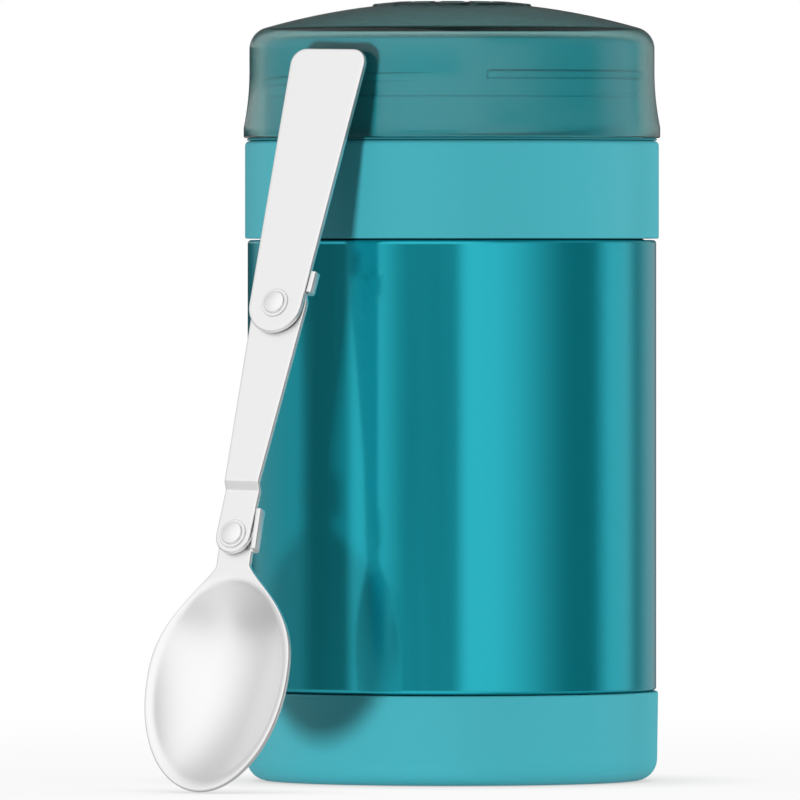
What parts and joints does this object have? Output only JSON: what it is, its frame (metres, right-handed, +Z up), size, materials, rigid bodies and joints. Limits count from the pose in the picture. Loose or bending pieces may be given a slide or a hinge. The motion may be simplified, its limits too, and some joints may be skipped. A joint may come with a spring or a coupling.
{
  "type": "insulated food jar with folding spoon",
  "caption": "Double-walled steel food jar with a screw stopper, a domed twist-off cover over a spoon tray, and a folding spoon that leans against it.",
  "frame": {"origin": "centre of the boot's flat underside, where the jar's axis meets the surface it stands on", "axes": "+Z up along the jar's axis; +X to the right and -Y towards a viewer in front; the spoon leans at the front left, on the -X, -Y side"},
  "size_m": [0.1161, 0.1432, 0.1769],
  "materials": {
    "lacquered_steel": "glossy translucent teal lacquer over brushed steel",
    "plain_steel": "satin stainless steel",
    "foil": "bright foil",
    "solder_glass": "dark solder glass",
    "teal_plastic": "fine matt moulded polypropylene",
    "smoke_plastic": "glossy translucent smoke grey",
    "foam": "closed-cell foam",
    "silicone": "matt silicone",
    "spoon_steel": "polished stainless steel with softened edges"
  },
  "bodies": {
    "jar": {"outer_shell": "lacquered_steel", "inner_liner": "plain_steel", "radiation_foil": "foil", "base_plate": "plain_steel", "getter_ring": "plain_steel", "seal_bead": "solder_glass", "base_boot": "teal_plastic", "boot_pad": "foam"},
    "gasket": {"stopper_gasket": "silicone"},
    "stopper": {"stopper_shell": "teal_plastic", "stopper_tray": "teal_plastic", "stopper_plug": "teal_plastic", "stopper_foam": "foam"},
    "ring": {"cover_ring": "silicone"},
    "cover": {"cover_shell": "smoke_plastic"},
    "link": {"spoon_link": "spoon_steel", "upper_rivet": "spoon_steel", "lower_rivet": "spoon_steel", "upper_washer": "spoon_steel", "lower_washer": "spoon_steel"},
    "handle": {"spoon_handle": "spoon_steel"},
    "bowl": {"spoon_bowl": "spoon_steel"}
  },
  "joints": [
    {"name": "stopper_lift", "type": "slide", "parent": "jar", "child": "gasket", "axis": [0, 0, 1], "range_m": [0, 0.065]},
    {"name": "stopper_twist", "type": "hinge", "parent": "gasket", "child": "stopper", "pos_m": [0, 0, 0.1387], "axis": [0, 0, 1], "range_deg": [0, 450]},
    {"name": "cover_lift", "type": "slide", "parent": "stopper", "child": "ring", "axis": [0, 0, 1], "range_m": [0, 0.04]},
    {"name": "cover_twist", "type": "hinge", "parent": "ring", "child": "cover", "pos_m": [0, 0, 0.1455], "axis": [0, 0, 1], "range_deg": [0, 450]},
    {"name": "spoon_lift", "type": "slide", "parent": "jar", "child": "link", "axis": [0, 0, 1], "range_m": [0, 0.12]},
    {"name": "handle_fold", "type": "hinge", "parent": "link", "child": "handle", "pos_m": [-0.0389, -0.05776, 0.108], "axis": [-0.4802, -0.7992, 0.3616], "range_deg": [0, 180]},
    {"name": "bowl_fold", "type": "hinge", "parent": "link", "child": "bowl", "pos_m": [-0.04968, -0.07406, 0.05766], "axis": [0.4802, 0.7992, -0.3616], "range_deg": [0, 180]}
  ]
}
